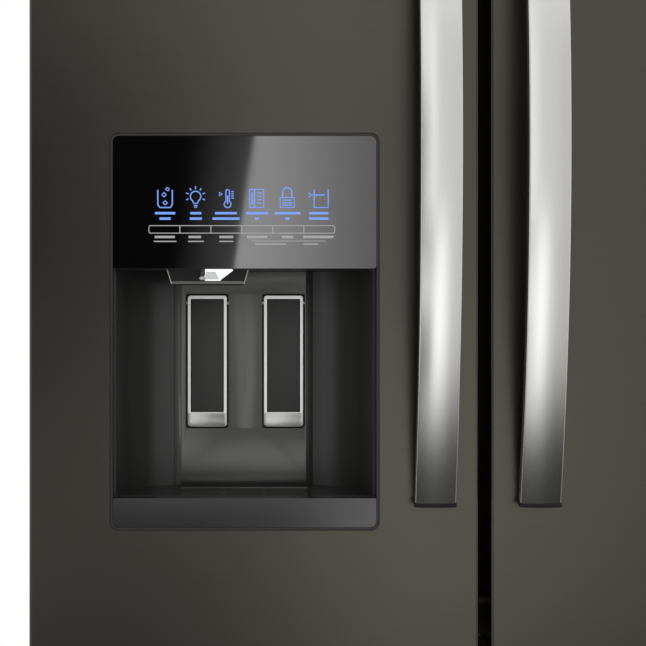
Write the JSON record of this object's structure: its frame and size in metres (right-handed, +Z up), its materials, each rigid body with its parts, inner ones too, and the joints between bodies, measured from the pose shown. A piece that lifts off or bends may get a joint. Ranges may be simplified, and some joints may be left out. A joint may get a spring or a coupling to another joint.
{
  "type": "french door refrigerator",
  "caption": "French door refrigerator with two upper doors, a freezer drawer, bow handles and an ice and water dispenser.",
  "frame": {"origin": "middle of the bounding box's bottom face, on the floor: half way across the width and half way between the handles' fronts and the cabinet's back", "axes": "+Z up along the height, -Y the way the doors face, +X to the right of someone who looks at the doors"},
  "size_m": [0.905, 0.9079, 1.781],
  "materials": {
    "black_stainless": "brushed, dark oxide coating",
    "satin_steel": "satin",
    "cabinet_enamel": "textured enamel",
    "zinc_steel": "zinc plated",
    "rail_enamel": "enamel",
    "black_abs": "moulded, fine texture",
    "white_hips": "vacuum formed",
    "clear_styrene": "clear moulded",
    "freezer_basket_plastic": "moulded",
    "shelf_glass": "tempered",
    "black_glass": "glass over a black print",
    "niche_plastic": "moulded",
    "tray_plastic": "moulded",
    "paddle_silver": "painted",
    "gasket_vinyl": "soft vinyl",
    "urethane_foam": "rigid foam",
    "roller_nylon": "moulded",
    "compressor_enamel": "gloss enamel",
    "coil_aluminium": "mill finish",
    "rear_board": "matte enamel",
    "valve_plastic": "moulded"
  },
  "bodies": {
    "cabinet": {"outer_wrap": "cabinet_enamel", "back_panel": "zinc_steel", "cabinet_foam": "urethane_foam", "fresh_food_liner": "white_hips", "freezer_liner": "white_hips", "centre_rail": "rail_enamel", "base_frame": "zinc_steel", "toe_grille": "black_abs", "levelling_legs": "black_abs", "door_hinges": "zinc_steel", "hinge_covers": "black_abs", "compressor": "compressor_enamel", "condenser_unit": "coil_aluminium", "machine_cover": "rear_board", "rear_fittings": "valve_plastic", "air_tower": "white_hips", "shelf_ladders": "zinc_steel", "glass_shelves": "shelf_glass", "crisper_rack": "white_hips", "ice_compartment": "white_hips", "freezer_slide_outer": "zinc_steel"},
    "front_rollers": {"front_rollers": "roller_nylon"},
    "rear_rollers": {"rear_rollers": "roller_nylon"},
    "condenser_fan": {"condenser_fan": "roller_nylon"},
    "crisper_left": {"crisper_left": "clear_styrene"},
    "crisper_right": {"crisper_right": "clear_styrene"},
    "ice_bucket": {"ice_bucket": "clear_styrene"},
    "freezer_slide_middle": {"freezer_slide_middle": "zinc_steel"},
    "freezer_drawer": {"freezer_drawer_skin": "black_stainless", "freezer_drawer_foam": "urethane_foam", "freezer_drawer_liner": "white_hips", "freezer_drawer_gasket": "gasket_vinyl", "freezer_handle": "satin_steel", "freezer_slide_inner": "zinc_steel", "freezer_basket_lower": "freezer_basket_plastic"},
    "freezer_basket_upper": {"freezer_basket_upper": "freezer_basket_plastic"},
    "left_door": {"left_door_skin": "black_stainless", "left_door_end_caps": "black_abs", "left_door_foam": "urethane_foam", "left_door_liner": "white_hips", "left_door_gasket": "gasket_vinyl", "left_door_bins": "clear_styrene", "left_door_handle": "satin_steel", "dispenser_bezel": "black_abs", "control_glass": "black_glass", "recess_housing": "niche_plastic", "ice_chute": "white_hips"},
    "ice_paddle": {"ice_paddle": "paddle_silver"},
    "water_paddle": {"water_paddle": "paddle_silver"},
    "chute_flap": {"chute_flap": "white_hips"},
    "drip_tray": {"drip_tray": "tray_plastic", "drip_grille": "niche_plastic"},
    "mullion_bar": {"mullion_bar": "black_abs"},
    "right_door": {"right_door_skin": "black_stainless", "right_door_end_caps": "black_abs", "right_door_foam": "urethane_foam", "right_door_liner": "white_hips", "right_door_gasket": "gasket_vinyl", "right_door_bins": "clear_styrene", "right_door_handle": "satin_steel"}
  },
  "joints": [
    {"name": "left_door_swing", "type": "hinge", "parent": "cabinet", "child": "left_door", "pos_m": [-0.4325, -0.366, 1.2355], "axis": [0, 0, -1], "range_deg": [0, 120]},
    {"name": "right_door_swing", "type": "hinge", "parent": "cabinet", "child": "right_door", "pos_m": [0.4325, -0.366, 1.2355], "axis": [0, 0, 1], "range_deg": [0, 120]},
    {"name": "freezer_drawer_slide", "type": "slide", "parent": "cabinet", "child": "freezer_drawer", "axis": [0, -1, 0], "range_m": [0, 0.44]},
    {"name": "freezer_middle_slide", "type": "slide", "parent": "cabinet", "child": "freezer_slide_middle", "axis": [0, -1, 0], "range_m": [0, 0.22]},
    {"name": "upper_basket_slide", "type": "slide", "parent": "cabinet", "child": "freezer_basket_upper", "axis": [0, -1, 0], "range_m": [0, 0.03]},
    {"name": "crisper_left_slide", "type": "slide", "parent": "cabinet", "child": "crisper_left", "axis": [0, -1, 0], "range_m": [0, 0.028]},
    {"name": "crisper_right_slide", "type": "slide", "parent": "cabinet", "child": "crisper_right", "axis": [0, -1, 0], "range_m": [0, 0.028]},
    {"name": "ice_bucket_slide", "type": "slide", "parent": "cabinet", "child": "ice_bucket", "axis": [0, -1, 0], "range_m": [0, 0.03]},
    {"name": "mullion_flip", "type": "hinge", "parent": "left_door", "child": "mullion_bar", "pos_m": [-0.037, -0.288, 1.2315], "axis": [0, 0, 1], "range_deg": [0, 90]},
    {"name": "ice_paddle_press", "type": "hinge", "parent": "left_door", "child": "ice_paddle", "pos_m": [-0.2771, -0.2925, 1.0787], "axis": [1, 0, 0], "range_deg": [0, 6], "stiffness_Nm_per_rad": 0.6},
    {"name": "water_paddle_press", "type": "hinge", "parent": "left_door", "child": "water_paddle", "pos_m": [-0.1959, -0.2925, 1.0787], "axis": [1, 0, 0], "range_deg": [0, 6], "stiffness_Nm_per_rad": 0.6},
    {"name": "chute_flap_turn", "type": "hinge", "parent": "left_door", "child": "chute_flap", "pos_m": [-0.2755, -0.321, 1.124], "axis": [-1, 0, 0], "range_deg": [0, 60]},
    {"name": "drip_tray_slide", "type": "slide", "parent": "left_door", "child": "drip_tray", "axis": [0, -1, 0], "range_m": [0, 0.05]},
    {"name": "front_rollers_spin", "type": "hinge", "parent": "cabinet", "child": "front_rollers", "pos_m": [0, -0.179, 0.023], "axis": [1, 0, 0], "continuous": true},
    {"name": "rear_rollers_spin", "type": "hinge", "parent": "cabinet", "child": "rear_rollers", "pos_m": [0, 0.4, 0.025], "axis": [1, 0, 0], "continuous": true},
    {"name": "condenser_fan_spin", "type": "hinge", "parent": "cabinet", "child": "condenser_fan", "pos_m": [0.02, 0.332, 0.1585], "axis": [1, 0, 0], "continuous": true}
  ],
  "couplings": [
    {"joint": "freezer_middle_slide", "follows": "freezer_drawer_slide", "ratio": 0.5},
    {"joint": "chute_flap_turn", "follows": "ice_paddle_press", "ratio": 10}
  ]
}
